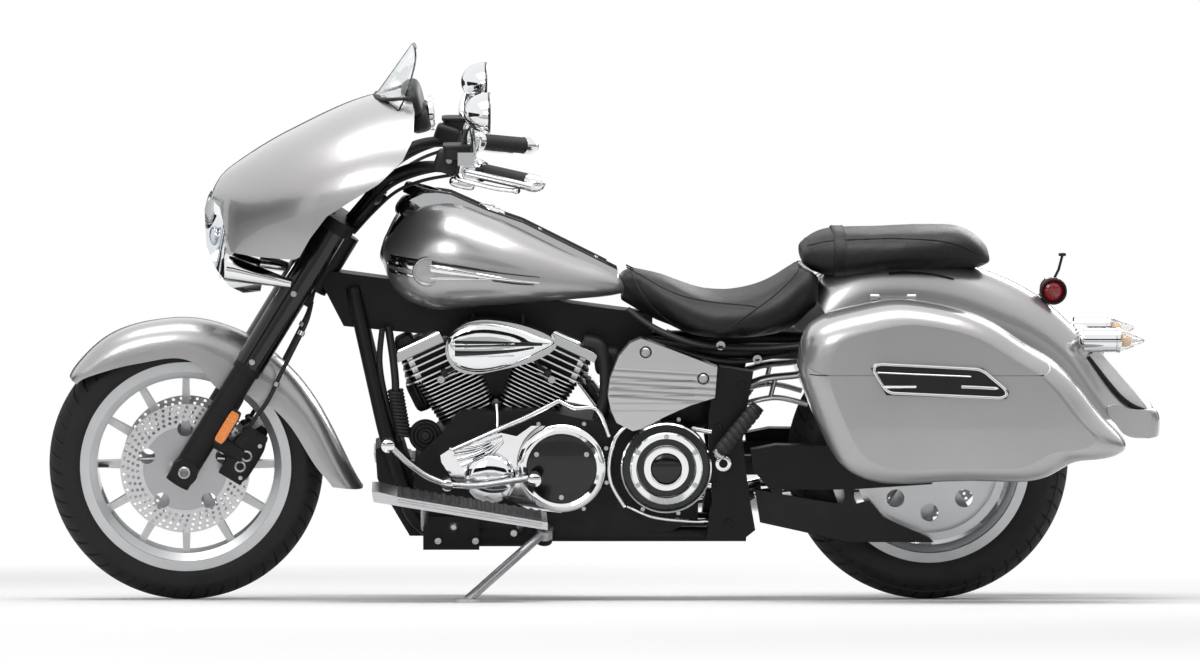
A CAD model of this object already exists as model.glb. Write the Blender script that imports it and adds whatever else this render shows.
import math
import bmesh
import bpy
import numpy as np
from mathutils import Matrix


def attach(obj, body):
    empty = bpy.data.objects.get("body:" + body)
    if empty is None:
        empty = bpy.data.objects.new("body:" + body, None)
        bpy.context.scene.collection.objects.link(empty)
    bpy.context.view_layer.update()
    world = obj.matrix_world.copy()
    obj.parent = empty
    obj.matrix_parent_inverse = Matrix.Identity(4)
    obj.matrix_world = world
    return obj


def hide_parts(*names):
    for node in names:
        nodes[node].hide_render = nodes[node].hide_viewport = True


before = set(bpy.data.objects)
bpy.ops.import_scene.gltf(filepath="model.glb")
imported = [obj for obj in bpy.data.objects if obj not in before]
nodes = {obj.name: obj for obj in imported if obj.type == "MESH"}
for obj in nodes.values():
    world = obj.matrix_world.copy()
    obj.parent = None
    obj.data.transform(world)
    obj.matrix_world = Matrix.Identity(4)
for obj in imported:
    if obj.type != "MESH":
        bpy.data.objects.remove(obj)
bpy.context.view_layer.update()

# The studio: a pale floor that keeps the machine's shadow and runs out to white, a white surround that metal
# and glass show too, soft lamps above and in front, and dark cards out of view that give the chrome its contrast.
LEAN = math.radians(8)
CROWN = 105
MM = 0.001


class Shade:
    """A socket in a material's tree. A sum on it adds Math nodes, and node() adds any other node."""

    def __init__(self, tree, socket=None):
        self.tree, self.socket = tree, socket

    def node(self, kind, settings=(), sockets=(), out=0):
        made = self.tree.nodes.new("ShaderNode" + kind)
        for name, value in dict(settings).items():
            if name == "stops":
                while len(made.color_ramp.elements) < len(value):
                    made.color_ramp.elements.new(1)
                for stop, (spot, colour) in zip(made.color_ramp.elements, value):
                    stop.position, stop.color = spot, colour
            else:
                setattr(made, name, value)
        for name, value in dict(sockets).items():
            if isinstance(value, Shade):
                self.tree.links.new(value.socket, made.inputs[name])
            else:
                made.inputs[name].default_value = value
        return Shade(self.tree, made.outputs[out] if len(made.outputs) else None)

    def other(self, out):
        return Shade(self.tree, self.socket.node.outputs[out])

    def math(self, operation, *values):
        return self.node("Math", {"operation": operation}, dict(enumerate(values)))

    def mix(self, low, high):
        """The colour low where this value is 0, and high where it is 1."""
        return self.node("Mix", {"data_type": "RGBA"}, {0: self, 6: (*low, 1), 7: (*high, 1)}, out=2)

    def parts(self):
        """The X, Y and Z of a vector."""
        x = self.node("SeparateXYZ", {}, {0: self})
        return x, x.other(1), x.other(2)

    def step(self, low, high):
        """0 below low, 1 above high, smooth between."""
        return self.node("MapRange", {"interpolation_type": "SMOOTHSTEP"},
            {0: self, 1: low, 2: high, 3: 0.0, 4: 1.0})

    def __add__(self, other):
        return self.math("ADD", self, other)

    def __radd__(self, other):
        return self.math("ADD", other, self)

    def __sub__(self, other):
        return self.math("SUBTRACT", self, other)

    def __rsub__(self, other):
        return self.math("SUBTRACT", other, self)

    def __mul__(self, other):
        return self.math("MULTIPLY", self, other)

    def __rmul__(self, other):
        return self.math("MULTIPLY", other, self)

    def __truediv__(self, other):
        return self.math("DIVIDE", self, other)

    def __gt__(self, other):
        return self.math("GREATER_THAN", self, other)

    def __lt__(self, other):
        return self.math("LESS_THAN", self, other)

    def __abs__(self):
        return self.math("ABSOLUTE", self)


def new_finish(name):
    material = bpy.data.materials.new(name)
    material.use_nodes = True
    material.node_tree.nodes.clear()
    return material, Shade(material.node_tree)


floor_mesh = bpy.data.meshes.new("floor")
FLOOR = 40.0
floor_mesh.from_pydata([(x * FLOOR, y * FLOOR, 0) for x, y in ((-1, -1), (1, -1), (1, 1), (-1, 1))], [],
    [(0, 1, 2, 3)])
floor = bpy.data.objects.new("floor", floor_mesh)
bpy.context.scene.collection.objects.link(floor)
material, start = new_finish("pale_floor")
place = start.node("TexCoord", out=3)
away = start.node("VectorMath", {"operation": "DISTANCE"}, {0: place, 1: (-0.85, 0.0, 0.0)}, out=1)
path = start.node("LightPath")
seen = path.math("MAXIMUM", path, path.math("MAXIMUM", path.other(3), path.other(6)))
fade = away.step(1.7, 5.0) * seen
plain = start.node("BsdfDiffuse", {}, {"Color": (0.9, 0.9, 0.9, 1)})
white = start.node("Emission", {}, {"Color": (1, 1, 1, 1), "Strength": 1.0})
start.node("OutputMaterial", {}, {"Surface": start.node("MixShader", {}, {0: fade, 1: plain, 2: white})})
floor_mesh.materials.append(material)

world = bpy.data.worlds.new("surround")
bpy.context.scene.world = world
world.use_nodes = True
world.node_tree.nodes.clear()
start = Shade(world.node_tree)
path = start.node("LightPath")
seen = path.math("MAXIMUM", path, path.math("MAXIMUM", path.other(3), path.other(6)))
dim = start.node("Background", {}, {"Color": (1, 1, 1, 1), "Strength": 0.36})
bright = start.node("Background", {}, {"Color": (1, 1, 1, 1), "Strength": 1.0})
start.node("OutputWorld", {}, {"Surface": start.node("MixShader", {}, {0: seen, 1: dim, 2: bright})})

# Each card: centre, half sizes along X, Y and Z, and how bright it looks in the metal.
card_places = [((-0.9, -4.6, 0.03), (6.0, 2.8, 0.0), 0.50), ((-0.9, -8.5, 1.75), (8.0, 0.0, 0.95), 0.01),
    ((-0.9, 8.0, 1.6), (8.0, 0.0, 1.0), 0.03), ((-6.5, 0.0, 1.3), (0.0, 3.6, 1.0), 0.02),
    ((4.6, 0.0, 1.3), (0.0, 3.6, 1.0), 0.30)]
for index, (centre, half_sizes, grey) in enumerate(card_places):
    flat = half_sizes.index(0.0)
    one, two = [k for k in range(3) if k != flat]
    corners = np.tile(centre, (4, 1))
    corners[:, one] += half_sizes[one] * np.array([-1, 1, 1, -1])
    corners[:, two] += half_sizes[two] * np.array([-1, -1, 1, 1])
    mesh = bpy.data.meshes.new(f"card_{index}")
    mesh.from_pydata(corners.tolist(), [], [(0, 1, 2, 3)])
    card = bpy.data.objects.new(f"card_{index}", mesh)
    bpy.context.scene.collection.objects.link(card)
    material, start = new_finish(f"dark_card_{index}")
    start.node("OutputMaterial", {},
        {"Surface": start.node("Emission", {}, {"Color": (grey, grey, grey, 1), "Strength": 1.0})})
    mesh.materials.append(material)
    card.visible_camera = card.visible_shadow = card.visible_diffuse = card.visible_transmission = False

# Each lamp: where it stands, its width and depth in metres, and its power.
lamps = [("top", (-0.9, -0.6, 4.2), 4.6, 2.4, 150), ("front", (-3.0, -5.0, 2.8), 2.2, 2.2, 70),
    ("back", (1.6, 4.5, 2.6), 2.6, 1.6, 80)]
MIDDLE = (-0.85, 0.0, 0.5)
for name, spot, wide, deep, power in lamps:
    data = bpy.data.lights.new("lamp_" + name, "AREA")
    data.shape, data.size, data.size_y, data.energy = "RECTANGLE", wide, deep, power
    lamp = bpy.data.objects.new("lamp_" + name, data)
    lamp.location = spot
    aim = np.array(MIDDLE) - np.array(spot)
    lamp.rotation_euler = (math.atan2(math.hypot(aim[0], aim[1]), -aim[2]), 0,
        math.atan2(aim[0], -aim[1]) + math.pi)
    bpy.context.scene.collection.objects.link(lamp)

data = bpy.data.cameras.new("camera")
data.sensor_width, data.lens, data.clip_end = 36.0, 207.0, 200.0
camera = bpy.data.objects.new("camera", data)
camera.location = (-1.175, -16.0, 0.36)
aim = np.array((-0.758, 0.0, 0.622)) - np.array(camera.location)
camera.rotation_euler = (math.atan2(math.hypot(aim[0], aim[1]), -aim[2]), 0, math.atan2(-aim[0], aim[1]))
bpy.context.scene.collection.objects.link(camera)
bpy.context.scene.camera = camera
bpy.context.scene.view_settings.view_transform = "Standard"


# Frame and castings: steel tube and cast alloy, powder coated satin black, slightly pebbled where it was cast.
def dress(name, material):
    """Gives a CAD node its finish."""
    nodes[name].data.materials.clear()
    nodes[name].data.materials.append(material)


def coating(name):
    """A new material, and its object coordinates in millimetres with the lean taken out."""
    material, start = new_finish(name)
    lift = (0.0, CROWN * math.sin(LEAN) * MM, CROWN * (1 - math.cos(LEAN)) * MM)
    place = start.node("VectorMath", {"operation": "SUBTRACT"}, {0: start.node("TexCoord", out=3), 1: lift})
    place = start.node("VectorRotate", {"rotation_type": "X_AXIS"}, {"Vector": place, "Angle": -LEAN})
    return material, start.node("VectorMath", {"operation": "SCALE"}, {0: place, "Scale": 1 / MM})


def noise(vector, scale, detail=2.0, rough=0.5):
    """Clouds of this scale in the place of a vector."""
    return vector.node("TexNoise", {}, {"Vector": vector, "Scale": scale, "Detail": detail, "Roughness": rough})


# The shader's sockets by short names.
SOCKETS = {"metal": "Metallic", "shine": "Specular IOR Level", "coat": "Coat Weight",
    "coat_rough": "Coat Roughness", "clear": "Transmission Weight", "index": "IOR", "alpha": "Alpha"}


def close(start, colour, rough, height=None, **others):
    """Ends a material: a bump of this height in metres, the shader with these sockets, and the output."""
    sockets = {"Base Color": (*colour, 1) if isinstance(colour, tuple) else colour, "Roughness": rough}
    sockets.update({SOCKETS[name]: value for name, value in others.items()})
    if height is not None:
        sockets["Normal"] = start.node("Bump", {}, {"Height": height, "Distance": 1.0, "Strength": 1.0})
    start.node("OutputMaterial", {}, {"Surface": start.node("BsdfPrincipled", {}, sockets)})


def two_tone(name, low, high, cloud, grain, rough, height, **others):
    """A finish whose colour drifts between two in clouds, and whose roughness and bump follow a finer grain. Clouds
    and grain are each a scale, a detail and perhaps a roughness; rough is the least, and what the grain adds."""
    material, place = coating(name)
    specks = noise(place, *grain)
    close(place, noise(place, *cloud).mix(low, high), rough[0] + rough[1] * specks, specks * height, **others)
    return material


satin_black = two_tone("satin_black", (0.004, 0.004, 0.005), (0.010, 0.010, 0.011), (0.012, 2), (0.9, 3),
    (0.32, 0.16), 0.00006, shine=0.2)
cast_black = two_tone("cast_black", (0.004, 0.004, 0.005), (0.014, 0.014, 0.015), (0.02, 2), (0.45, 4, 0.6),
    (0.40, 0.25), 0.00022, shine=0.22)
for name in ("frame", "triple_clamps", "handlebar", "bag_mounts", "swingarm", "pivot_plates", "stand_bracket"):
    dress(name, satin_black)
for name in ("crankcase", "engine_boxes", "fork_sliders", "front_calipers", "rear_caliper"):
    dress(name, cast_black)
gloss_black, place = coating("gloss_black")
close(place, (0.005, 0.005, 0.006), 0.12 + 0.1 * noise(place, 0.02, 3), shine=0.35, coat=0.35, coat_rough=0.03)
dress("fork_covers", gloss_black)
dress("right_cover", gloss_black)

# Engine: two black finned cylinders whose fin edges are machined bright, chromed covers and a polished casting.
FIN_HALF = 84
CRANK = (-1000, 0, 300)
VEE = math.radians(25)
for name, side in (("front_cylinder", -1), ("rear_cylinder", 1)):
    material, place = coating("finned_" + name)
    x, y, z = place.parts()
    sideways = (x - CRANK[0]) * math.cos(VEE) - (z - CRANK[2]) * (side * math.sin(VEE))
    facing = place.node("VectorMath", {"operation": "DOT_PRODUCT"}, {
        0: place.node("NewGeometry", out=1),
        1: (side * math.sin(VEE), -math.cos(VEE) * math.sin(LEAN), math.cos(VEE) * math.cos(LEAN))}, out=1)
    rim = (abs(facing) < 0.5) * (place.math("MAXIMUM", abs(sideways), abs(y)) > 0.72 * FIN_HALF)
    grain = noise(place, 0.5, 3)
    close(place, rim.mix((0.008, 0.008, 0.009), (0.78, 0.78, 0.79)), 0.45 - rim * 0.2 + 0.12 * grain,
        grain * 0.0001, metal=rim, shine=0.3)
    dress(name, material)

chrome, place = coating("chrome")
haze = noise(place, 0.01, 3)
close(place, (0.84, 0.85, 0.86), 0.03 + 0.05 * haze, noise(place, 0.008, 2) * 0.0004, metal=1.0)
for name in ("rocker_covers", "air_cleaners", "headlamp_shell", "front_signals", "mirrors", "tank_console",
    "exhaust_headers", "muffler", "hand_controls", "rear_signals"):
    dress(name, chrome)

# The middle cover is a black dish in a chrome rim; the rear one a chrome band round a black dish and a black cap.
MID, REAR, FRONT = (-852, 332), (-612, 332), (-1015, 304)
material, place = coating("engine_cover_chrome")
x, y, z = place.parts()


def ring_mask(x, z, centre, inner, outer):
    """1 between two radii about a crossways axis."""
    reach = x.math("SQRT", (x - centre[0]) * (x - centre[0]) + (z - centre[1]) * (z - centre[1]))
    return (reach > inner) * (reach < outer)


flat_face = abs(place.node("VectorMath", {"operation": "DOT_PRODUCT"},
    {0: place.node("NewGeometry", out=1), 1: (0.0, -math.cos(LEAN), -math.sin(LEAN))}, out=1)) > 0.6
black = ring_mask(x, z, MID, -1.0, 79.0)
for inner, outer in ((82.0, 101.0), (52.0, 66.5), (-1.0, 35.0)):
    black = black + ring_mask(x, z, REAR, inner, outer)
black = place.math("MINIMUM", black * flat_face, 1.0)
haze = noise(place, 0.012, 3)
close(place, black.mix((0.8, 0.8, 0.81), (0.012, 0.012, 0.013)), 0.06 + 0.06 * haze + black * 0.08,
    metal=1.0 - black, shine=0.3, coat=black * 0.3)
dress("engine_covers", material)
black_plain = two_tone("moulded_black", (0.006, 0.006, 0.006), (0.014, 0.014, 0.015), (0.02, 2), (1.1, 3),
    (0.42, 0.2), 0.00008, shine=0.35)


def to_row(points):
    """Upright places in millimetres, leant about X and lifted onto the tyres' sides, in metres."""
    x, y, z = np.moveaxis(np.asarray(points, float), -1, 0)
    c, s = math.cos(LEAN), math.sin(LEAN)
    return np.stack([x, y * c - z * s + CROWN * s, y * s + z * c + CROWN * (1 - c)], -1) * MM


def faces_of(rows, columns, wrap_rows, wrap_columns):
    """The four corners of each cell of a grid, with the last line joined to the first where it wraps."""
    i, j = np.arange(rows if wrap_rows else rows - 1)[:, None], np.arange(columns if wrap_columns else columns - 1)
    corners = (i, j), (i, j + 1), (i + 1, j + 1), (i + 1, j)
    return np.stack([a % rows * columns + b % columns for a, b in corners], -1).reshape(-1, 4)


def skin(points, wrap_rows=False, wrap_columns=True):
    """A grid of upright places as one part of a piece: its places and its faces."""
    points = np.asarray(points, float)
    return points.reshape(-1, 3), faces_of(points.shape[0], points.shape[1], wrap_rows, wrap_columns)


def piece(name, parts, finish, body="chassis", sharp=34):
    """One object from several parts, its doubles merged and its faces turned outwards, riding on a body."""
    sizes = np.cumsum([0] + [len(places) for places, faces in parts])
    places = to_row(np.concatenate([places for places, faces in parts]))
    faces = np.concatenate([faces + size for (spots, faces), size in zip(parts, sizes)])
    mesh = bpy.data.meshes.new(name)
    mesh.from_pydata(places.tolist(), [], faces.tolist())
    work = bmesh.new()
    work.from_mesh(mesh)
    bmesh.ops.remove_doubles(work, verts=work.verts, dist=1e-6)
    bmesh.ops.recalc_face_normals(work, faces=work.faces)
    work.to_mesh(mesh)
    work.free()
    mesh.polygons.foreach_set("use_smooth", np.ones(len(mesh.polygons), bool))
    mesh.set_sharp_from_angle(angle=math.radians(sharp))
    mesh.materials.append(finish)
    made = bpy.data.objects.new(name, mesh)
    bpy.context.scene.collection.objects.link(made)
    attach(made, body)
    return made


def across(axis):
    """Two directions square to an axis and to each other."""
    axis = np.asarray(axis, float) / np.linalg.norm(axis)
    side = np.cross(axis, (0, 0, 1.0) if abs(axis[2]) < 0.9 else (1.0, 0, 0))
    side /= np.linalg.norm(side)
    return axis, side, np.cross(axis, side)


def turned(profile, centre, axis=(0, -1, 0), around=40):
    """A turned part: each radius and reach of the profile carried round an axis."""
    axis, side, up = across(axis)
    angle = np.arange(around) * 2 * math.pi / around
    radius, reach = np.asarray(profile, float).T
    ring = np.cos(angle)[:, None] * side + np.sin(angle)[:, None] * up
    return skin(np.asarray(centre, float) + radius[:, None, None] * ring + reach[:, None, None] * axis)


BOLT = [(0, 0), (1, 0), (1, 0.5), (0.92, 0.62), (0.5, 0.62), (0.46, 0.3), (0, 0.3)]


def bolts(places, radius, axis=(0, -1, 0)):
    """Socket-headed bolts of one size at several places."""
    return [turned(np.array(BOLT) * radius, place, axis, 16) for place in places]


satin_alloy = two_tone("satin_alloy", (0.42, 0.42, 0.43), (0.62, 0.62, 0.63), (0.03, 2), (0.7, 3), (0.25, 0.15),
    0.00003, metal=1.0)
# Rims and bolts of the round covers: turned chrome rings over the castings, each held by socket-headed bolts.
piece("cover_rims", [
    turned([(78, -6), (78, 1), (81, 6), (88, 9), (95, 7), (101, 0), (101, -6)], (MID[0], -194, MID[1]), around=72),
    turned([(67, -6), (67, 1), (69, 4), (80, 5), (83, 1), (83, -6)], (REAR[0], -195, REAR[1]), around=72),
    turned([(99, -8), (99, 0), (101, 3), (104, 0), (104, -8)], (REAR[0], -190, REAR[1]), around=72),
    turned([(35, -4), (36, 2), (40, 3), (51, 2), (52, -4)], (REAR[0], -195, REAR[1]), around=60),
    turned([(0, 14), (22, 13), (42, 8), (55, 0), (58, -6)], (FRONT[0], -176, FRONT[1]), around=60)], chrome)
piece("cover_dishes", [
    turned([(0, 4), (60, 3), (78, 0), (78, -3)], (MID[0], -195, MID[1]), around=60),
    turned([(0, 9), (24, 8), (33, 4), (35, -3)], (REAR[0], -195, REAR[1]), around=48)], gloss_black)
# Each circle of bolts: its middle, its radius, how far out it lies, the bolts' size and their turns in degrees. The
# front cover has one bolt, on a circle of no radius.
circles = [(MID, 66, -197, 6, (30, 150, 270)), (REAR, 75, -199, 6, (30, 90, 150, 210, 270, 330)),
    ((FRONT[0] - 4, FRONT[1] + 12), 0, -188, 5, (0,)), (MID, 111, -158, 5, (-62, -20, 22, 62, 118)),
    (REAR, 112, -158, 5, (-75, 75, 118, -118))]
piece("cover_bolts", [bolt for middle, radius, y, size, degrees in circles
    for bolt in bolts(
        [(middle[0] + radius * math.cos(a), y, middle[1] + radius * math.sin(a)) for a in np.radians(degrees)],
        size)], satin_alloy)


def smooth(points, count, closed=False):
    """A curve through the points: on each span the cubic whose slopes follow its neighbours."""
    p = np.asarray(points, float)
    n = len(p)
    t = np.linspace(0, n if closed else n - 1, count, endpoint=not closed)
    i = np.minimum(t.astype(int), n - 1 if closed else n - 2)
    f = (t - i)[:, None]
    pick = (lambda k: p[k % n]) if closed else (lambda k: p[np.clip(k, 0, n - 1)])
    a, b, c, d = pick(i - 1), pick(i), pick(i + 1), pick(i + 2)
    return 0.5 * (2 * b + (c - a) * f + (2 * a - 5 * b + 4 * c - d) * f ** 2 + (3 * b - a - 3 * c + d) * f ** 3)


def swept(path, radius, around=12, flat=(1.0, 1.0)):
    """A closed tube: circles square to the path at each of its points, gathered to a point at both ends."""
    path = np.asarray(path, float)
    along = np.gradient(path, axis=0)
    along /= np.linalg.norm(along, axis=1)[:, None]
    spread = path.max(0) - path.min(0)
    least = np.eye(3)[np.argmin(spread)]
    side = np.cross(along, least)
    side /= np.linalg.norm(side, axis=1)[:, None]
    up = np.cross(along, side)
    angle = np.arange(around) * 2 * math.pi / around
    radius = np.broadcast_to(radius, len(path))[:, None, None]
    ring = path[:, None] + radius * (flat[0] * np.cos(angle)[:, None] * side[:, None]
        + flat[1] * np.sin(angle)[:, None] * up[:, None])
    ends = [np.repeat(path[[k]], around, 0)[None] for k in (0, -1)]
    return skin(np.concatenate([ends[0], ring, ends[1]]))


def tube(points, count, radius, around=12, flat=(1.0, 1.0)):
    """A closed tube along the curve through the points."""
    return swept(smooth(points, count), radius, around, flat)


# The rods of the shift, and ahead of the engine the horn, a coiled line and the cooling hoses.
rods = [([(-1101, -172, 372), (-1000, -176, 418), (-930, -168, 447), (-858, -152, 482)], 24, 6),
    ([(-1000, -120, 470), (-998, -132, 430), (-1004, -140, 405), (-1050, -146, 378), (-1098, -140, 356)], 30, 4),
    ([(-858, -152, 482), (-822, -156, 466), (-770, -156, 462), (-742, -154, 400)], 20, 5)]
piece("chrome_rods", [tube(*rod) for rod in rods], chrome)
horn = [(0, 12), (9, 11), (12, 6), (16, 6), (18, 10), (21, 6), (25, 6), (27, 11), (30, 7), (34, 7), (37, 12),
    (38, 2), (30, -22), (0, -24)]
piece("horn", [turned(horn, (-1163, -104, 396), around=48),
    swept([(-1163, -84, 396), (-1195, -80, 404), (-1225, -70, 410)], 7)], black_plain)
coils = np.linspace(0, 1, 240)[:, None]
line = np.array([(-1232, -98, 500)]) * (1 - coils) + np.array([(-1214, -106, 396)]) * coils
turn = coils[:, 0] * 2 * math.pi * 13
coil = line + 15 * np.stack([np.cos(turn), np.sin(turn) * 0.7, 0 * turn], -1)
piece("cooling_hoses", [swept(coil, 4.5, 8), swept(line, 9, 14),
    tube([(-1262, -70, 640), (-1268, -82, 560), (-1252, -92, 470), (-1224, -98, 380)], 24, 7),
    tube([(-1248, -50, 640), (-1238, -70, 575), (-1232, -92, 520), (-1232, -98, 490)], 24, 9)
], black_plain)
# Plug leads and the fasteners of the two heads.
piece("plug_leads", [
    tube([(-1120, -86, 540), (-1092, -104, 556), (-1070, -96, 600), (-1052, -60, 672)], 24, 4.5),
    tube([(-882, -86, 540), (-905, -104, 560), (-930, -96, 606), (-940, -60, 672)], 24, 4.5),
    *(turned([(0, 22), (7, 20), (9, 0), (9, -8)], (x, -82, 540)) for x in (-1120, -882))], black_plain)
piece("head_bolts", [part for x, z in ((-1127, 524), (-873, 524)) for part in bolts([(x, -92, z)], 9) + [
    swept([(x, -88, z), (x + (34 if x < -1000 else -34), -88, z + 14)], 3.5)]], satin_alloy)


def real_mesh(thing):
    """A node's or piece's corners, upright and in millimetres, and its triangles."""
    mesh = thing.data
    mesh.calc_loop_triangles()
    places, faces = np.zeros(len(mesh.vertices) * 3), np.zeros(len(mesh.loop_triangles) * 3, int)
    mesh.vertices.foreach_get("co", places)
    mesh.loop_triangles.foreach_get("vertices", faces)
    x, y, z = places.reshape(-1, 3).T / MM
    c, s = math.cos(LEAN), math.sin(LEAN)
    y, z = y - CROWN * s, z - CROWN * (1 - c)
    return np.stack([x, y * c + z * s, z * c - y * s], -1), faces.reshape(-1, 3)


def laid_on(thing, points, axis=1, side=-1, lift=0.0):
    """Points moved along an axis onto the outermost skin of a node on one side, and lifted off it. Each point
    takes the height of the triangle over it, weighted by its three corners."""
    corners, faces = real_mesh(thing)
    points = np.array(points, float)
    flat, keep = points.reshape(-1, 3), [k for k in range(3) if k != axis]
    a, b, c = (corners[faces[:, k]] for k in range(3))
    lifted = np.zeros(len(flat))
    for batch in np.array_split(np.arange(len(flat)), max(1, len(flat) // 200)):
        first = a[None][..., keep]
        u, v, w = b[None][..., keep] - first, c[None][..., keep] - first, flat[batch][:, None, keep] - first
        area = u[..., 0] * v[..., 1] - u[..., 1] * v[..., 0]
        area = np.where(np.abs(area) < 1e-9, np.inf, area)
        s = (w[..., 0] * v[..., 1] - w[..., 1] * v[..., 0]) / area
        t = (u[..., 0] * w[..., 1] - u[..., 1] * w[..., 0]) / area
        inside = (s >= -0.001) & (t >= -0.001) & (s + t <= 1.001) & np.isfinite(area)
        height = (a[:, axis] + s * (b - a)[:, axis] + t * (c - a)[:, axis]) * side
        lifted[batch] = np.where(inside, height, -np.inf).max(1)
    found = np.isfinite(lifted)
    if not found.all():
        spots = np.arange(len(flat))
        lifted = np.interp(spots, spots[found], lifted[found])
    flat[:, axis] = (lifted + lift) * side
    return flat.reshape(points.shape)


def at_y(flat, y):
    """Points in X and Z carried to one Y, or each to its own."""
    return np.stack([flat[:, 0], np.broadcast_to(y, len(flat)), flat[:, 1]], -1)


def on_side(thing, x, z, side, lift=0.0):
    """Points of a skin seen from one side."""
    return laid_on(thing, np.stack(np.broadcast_arrays(x, 0.0, z), -1).reshape(-1, 3), 1, side, lift)


def band(thing, middle, half, side, lift):
    """A strip of trim: a line in X and Z widened by half to each side and laid on a skin, domed, its edges sunk."""
    middle = np.asarray(middle, float)
    along = np.gradient(middle, axis=0)
    along /= np.linalg.norm(along, axis=1)[:, None]
    out = np.stack([-along[:, 1], along[:, 0]], -1)
    half = np.broadcast_to(half, len(middle))[:, None]
    rows = []
    for share, height in ((-1, -1.0), (-0.94, lift * 0.6), (-0.7, lift * 0.9), (0, lift), (0.7, lift * 0.9),
        (0.94, lift * 0.6), (1, -1.0)):
        spot = middle + out * half * share
        rows.append(on_side(thing, *spot.T, side, height))
    rows.append(at_y(middle, (rows[0][:, 1] + rows[-1][:, 1]) / 2))
    grid = np.array(rows).transpose(1, 0, 2)
    ends = [grid[k][None].mean(1, keepdims=True).repeat(grid.shape[1], 1) for k in (0, -1)]
    return skin(np.concatenate([ends[0], grid, ends[1]]))


# Air cleaner covers: crowned chrome teardrops with a black louvre that runs to a point, and thin chrome bars in it.
teardrop = smooth([(-1117, 606), (-1112, 632), (-1092, 652), (-1060, 664), (-1015, 667), (-960, 656), (-905, 634),
    (-863, 616), (-905, 590), (-950, 568), (-1000, 552), (-1050, 546), (-1090, 556),
    (-1112, 580)], 112, closed=True)
heart = np.array([-1012, 607.0])
SIDES = (-1, "left"), (1, "right")
for side, hand in SIDES:
    rows = []
    for share, height in ((0.965, 0), (0.965, 5), (0.94, 9), (0.88, 13), (0.78, 16), (0.6, 18.5), (0.35, 20),
        (0, 20.5)):
        spot = heart + (teardrop - heart) * share
        rows.append(at_y(spot, side * (149.5 + height)))
    cover = piece("air_cleaner_cover_" + hand, [skin(np.array(rows))], chrome)
    louvre = smooth([(-1096, 615), (-1020, 616), (-950, 615), (-896, 614)], 44)
    under = smooth([(-1096, 594), (-1030, 595), (-960, 600), (-915, 607)], 44)
    piece("air_cleaner_louvre_" + hand, [band(cover, louvre, np.linspace(8.5, 3.0, 44), side, 1.2),
        band(cover, under, np.linspace(6.5, 2.0, 44), side, 1.2)], gloss_black)
    piece("air_cleaner_bars_" + hand, [
        band(cover, smooth([(-1104, z), (-1030, z + 1), (-960, z + 2)], 30), np.linspace(1.8, 0.5, 30), side, 3.2)
        for z in (605, 614, 586)], chrome)
# The fluted chrome web between the front and middle covers.
ribs = [[(-1108 + 9 * k, -158, 372 - 13 * k), (-1050 + 6 * k, -160, 378 - 8 * k), (-986, -162, 400 - 3 * k)]
    for k in range(5)]
piece("fluted_web", [tube(rib, 20, 3.4, 10) for rib in ribs], chrome)

# Wheels: cast alloy painted silver, with drilled stainless discs and an alloy pulley for the belt. The tyres are
# black rubber with slanted grooves moulded in from each shoulder and two grooves round the middle.
wheel_silver = two_tone("wheel_silver", (0.50, 0.51, 0.52), (0.62, 0.63, 0.64), (0.01, 2), (1.2, 2), (0.26, 0.12),
    0.00003, metal=0.75, coat=0.8, coat_rough=0.06)
for name in ("front_wheel", "rear_wheel", "rear_pulley"):
    dress(name, wheel_silver)
AXLES = {"front": (-1715.0, 316.0 - (CROWN - 66) * (1 - math.cos(LEAN))), "rear": (0.0, 326.0)}
# Brake discs: 48 slanted lines of drilled holes between two radii, 11 mm apart, outside the ring that carries them.
HOLE, HOLES, HOLE_STEP, DRILLED, WIPED = 3.6, 48.0, 11.0, (104.0, 148.0), 97.0
for name, end in (("front_discs", "front"), ("rear_disc", "rear")):
    material, place = coating("brake_steel_" + end)
    x, y, z = place.parts()
    dx, dz = x - AXLES[end][0], z - AXLES[end][1]
    reach = place.math("SQRT", dx * dx + dz * dz)
    turn = place.math("ARCTAN2", dz, dx) / (2 * math.pi)
    rings = place.math("SINE", reach * 9.0) * 0.5 + 0.5
    wiped = reach > WIPED
    row = place.math("FLOOR", (reach - DRILLED[0]) / HOLE_STEP)
    sector = turn * HOLES + row * 0.25
    off = (sector - place.math("FLOOR", sector) - 0.5) * reach * (2 * math.pi / HOLES)
    up = reach - DRILLED[0] - row * HOLE_STEP - HOLE_STEP / 2
    hole = (place.math("SQRT", off * off + up * up) < HOLE) * (reach > DRILLED[0]) * (reach < DRILLED[1])
    close(place, wiped.mix((0.42, 0.42, 0.43), (0.6, 0.6, 0.61)), 0.24 + 0.12 * rings, rings * 0.00002, metal=1.0,
        alpha=1.0 - hole)
    dress(name, material)

rubber = two_tone("tyre_rubber", (0.008, 0.008, 0.008), (0.017, 0.0165, 0.016), (0.02, 2), (0.6, 4, 0.6),
    (0.55, 0.2), 0.00015, shine=0.3)

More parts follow.
